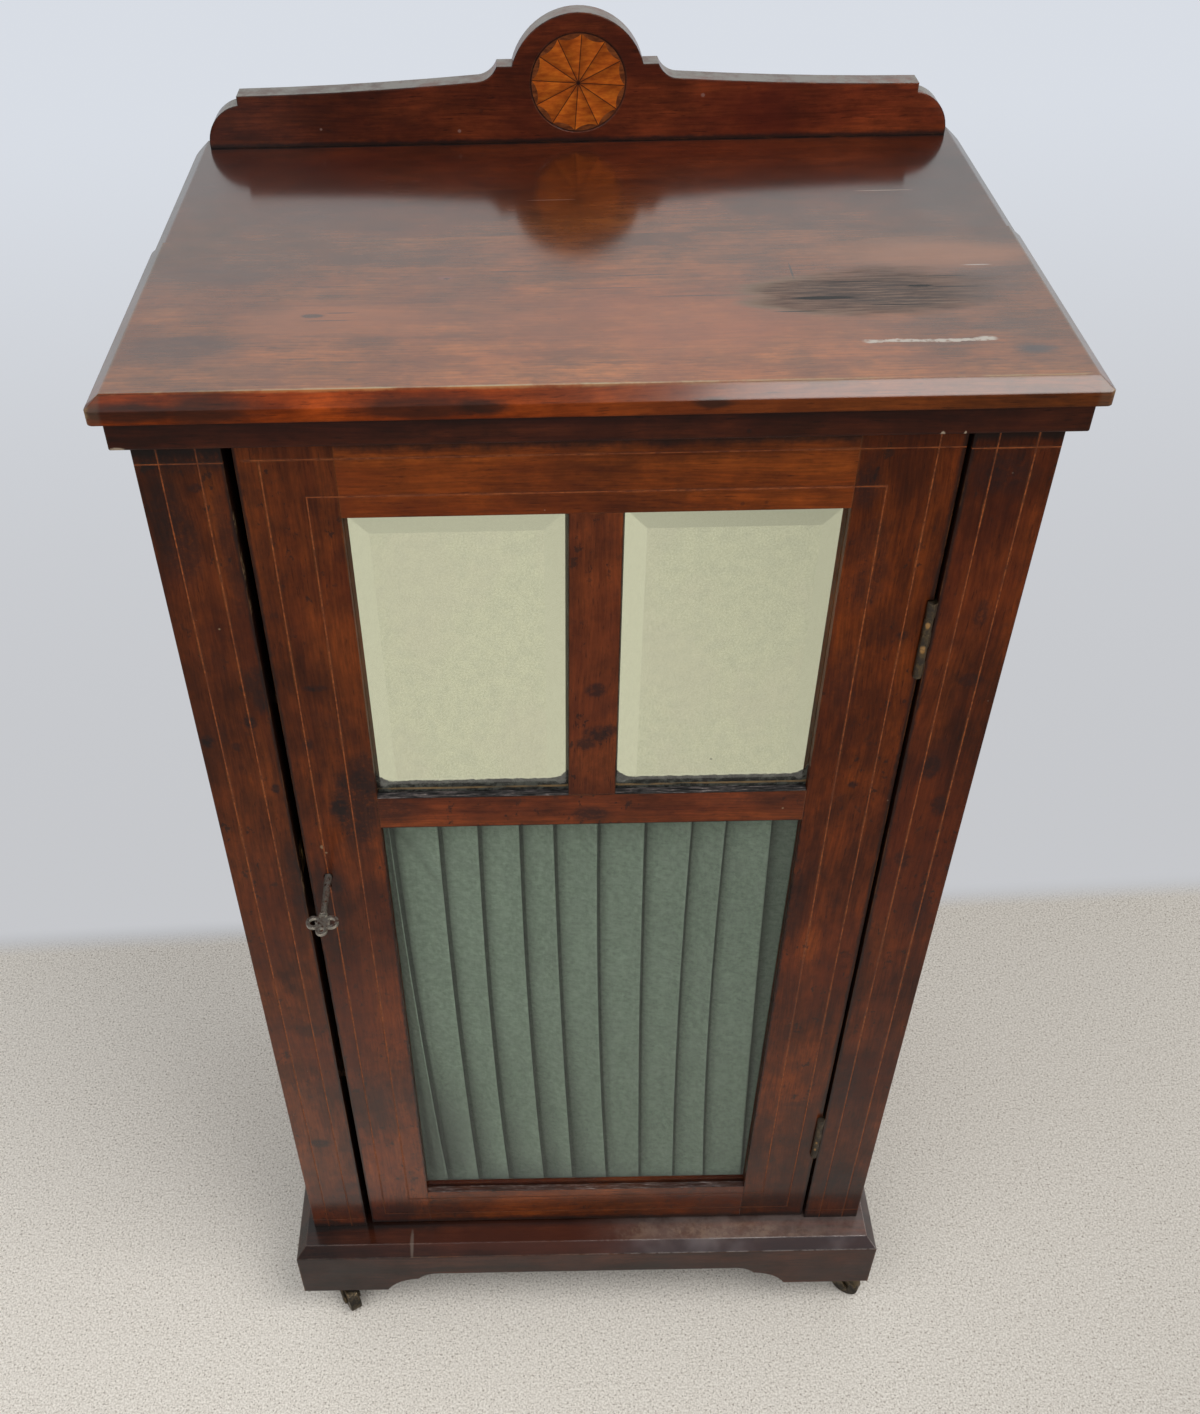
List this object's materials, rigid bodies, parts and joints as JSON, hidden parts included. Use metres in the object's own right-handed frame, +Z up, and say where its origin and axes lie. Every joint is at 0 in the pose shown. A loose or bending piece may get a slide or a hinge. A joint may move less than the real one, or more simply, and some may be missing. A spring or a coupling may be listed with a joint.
{
  "type": "glazed cabinet",
  "caption": "Narrow inlaid cabinet on castors; the door has bevelled mirrors above a curtained glass pane.",
  "frame": {"origin": "on the floor, under the middle of the overall box", "axes": "+Z up, -Y towards the front where the door is, +X to the viewer's right"},
  "size_m": [0.5402, 0.4016, 1.0767],
  "materials": {
    "top_mahogany": "glossy french polish, worn",
    "gallery_mahogany": "glossy french polish",
    "frame_mahogany": "glossy french polish, dark and mottled",
    "plinth_mahogany": "dark satin polish, rubbed on the edges",
    "door_mahogany": "glossy french polish",
    "rail_mahogany": "glossy french polish, lighter",
    "secondary_wood": "bare wood, darkened with age",
    "bead_wood": "dark satin polish",
    "boxwood": "polished flush with the ground",
    "satinwood": "polished, fine figure",
    "stained_wood": "stained green-brown, polished",
    "ebony": "polished",
    "mirror_glass": "silvered plate with a polished bevel",
    "clear_glass": "clear sheet glass",
    "curtain_cloth": "plain woven cloth, matt with a slight sheen",
    "hinge_brass": "aged, dull",
    "lock_brass": "aged, satin",
    "key_nickel": "tarnished plate",
    "screw_steel": "dull, darkened",
    "castor_brass": "dark, tarnished"
  },
  "bodies": {
    "root": {"top_board_front": "top_mahogany", "top_board_rear": "top_mahogany", "gallery_board": "gallery_mahogany", "frieze_front": "frame_mahogany", "frieze_left": "frame_mahogany", "frieze_right": "frame_mahogany", "frieze_back": "frame_mahogany", "side_left": "frame_mahogany", "side_right": "frame_mahogany", "stile_left": "frame_mahogany", "stile_right": "frame_mahogany", "base_board": "plinth_mahogany", "plinth_front": "plinth_mahogany", "plinth_left": "plinth_mahogany", "plinth_right": "plinth_mahogany", "back_boards": "secondary_wood", "shelf_1": "secondary_wood", "shelf_2": "secondary_wood", "shelf_3": "secondary_wood", "shelf_bearers": "secondary_wood", "plinth_back": "secondary_wood", "corner_blocks": "secondary_wood", "door_stops": "secondary_wood", "stile_stringing": "boxwood", "patera_fan": "satinwood", "patera_tips": "stained_wood", "patera_ring": "ebony", "hinge_case_leaves": "hinge_brass", "hinge_pins": "hinge_brass", "lock_keeper": "hinge_brass", "case_screws": "screw_steel", "castor_plates": "castor_brass"},
    "door": {"door_lock_stile": "door_mahogany", "door_hinge_stile": "door_mahogany", "door_top_rail": "rail_mahogany", "door_mid_rail": "door_mahogany", "door_bottom_rail": "rail_mahogany", "door_mullion": "door_mahogany", "door_stringing": "boxwood", "mirror_left": "mirror_glass", "mirror_right": "mirror_glass", "mirror_backboards": "secondary_wood", "glazing_beads": "bead_wood", "door_glass": "clear_glass", "curtain": "curtain_cloth", "curtain_rods": "hinge_brass", "lock_case": "lock_brass", "hinge_door_leaves": "hinge_brass", "door_screws": "screw_steel"},
    "key": {"key": "key_nickel"},
    "bolt": {"lock_bolt": "lock_brass"},
    "fork_front_left": {"castor_fork_front_left": "castor_brass"},
    "wheel_front_left": {"castor_wheel_front_left": "castor_brass"},
    "fork_front_right": {"castor_fork_front_right": "castor_brass"},
    "wheel_front_right": {"castor_wheel_front_right": "castor_brass"},
    "fork_rear_left": {"castor_fork_rear_left": "castor_brass"},
    "wheel_rear_left": {"castor_wheel_rear_left": "castor_brass"},
    "fork_rear_right": {"castor_fork_rear_right": "castor_brass"},
    "wheel_rear_right": {"castor_wheel_rear_right": "castor_brass"}
  },
  "joints": [
    {"name": "door_hinge", "type": "hinge", "parent": "root", "child": "door", "pos_m": [0.2016, -0.14918, 0.5355], "axis": [0, 0, 1], "range_deg": [0, 170]},
    {"name": "key_turn", "type": "hinge", "parent": "door", "child": "key", "pos_m": [-0.1862, -0.16917, 0.602], "axis": [0, -1, 0], "range_deg": [0, 90]},
    {"name": "bolt_slide", "type": "slide", "parent": "door", "child": "bolt", "axis": [-1, 0, 0], "range_m": [0, 0.009]},
    {"name": "swivel_front_left", "type": "hinge", "parent": "root", "child": "fork_front_left", "pos_m": [-0.238, -0.15218, 0.036], "axis": [0, 0, 1], "continuous": true},
    {"name": "roll_front_left", "type": "hinge", "parent": "fork_front_left", "child": "wheel_front_left", "pos_m": [-0.228, -0.1695, 0.0135], "axis": [0.866, 0.5, 0], "continuous": true},
    {"name": "swivel_front_right", "type": "hinge", "parent": "root", "child": "fork_front_right", "pos_m": [0.238, -0.15218, 0.036], "axis": [0, 0, 1], "continuous": true},
    {"name": "roll_front_right", "type": "hinge", "parent": "fork_front_right", "child": "wheel_front_right", "pos_m": [0.25438, -0.16365, 0.0135], "axis": [0.5736, 0.8192, 0], "continuous": true},
    {"name": "swivel_rear_left", "type": "hinge", "parent": "root", "child": "fork_rear_left", "pos_m": [-0.238, 0.15382, 0.036], "axis": [0, 0, 1], "continuous": true},
    {"name": "roll_rear_left", "type": "hinge", "parent": "fork_rear_left", "child": "wheel_rear_left", "pos_m": [-0.25532, 0.16382, 0.0135], "axis": [-0.5, -0.866, 0], "continuous": true},
    {"name": "swivel_rear_right", "type": "hinge", "parent": "root", "child": "fork_rear_right", "pos_m": [0.238, 0.15382, 0.036], "axis": [0, 0, 1], "continuous": true},
    {"name": "roll_rear_right", "type": "hinge", "parent": "fork_rear_right", "child": "wheel_rear_right", "pos_m": [0.23453, 0.17352, 0.0135], "axis": [-0.9848, -0.1736, 0], "continuous": true}
  ],
  "couplings": [
    {"joint": "bolt_slide", "follows": "key_turn", "m_per_rad": 0.0057}
  ]
}
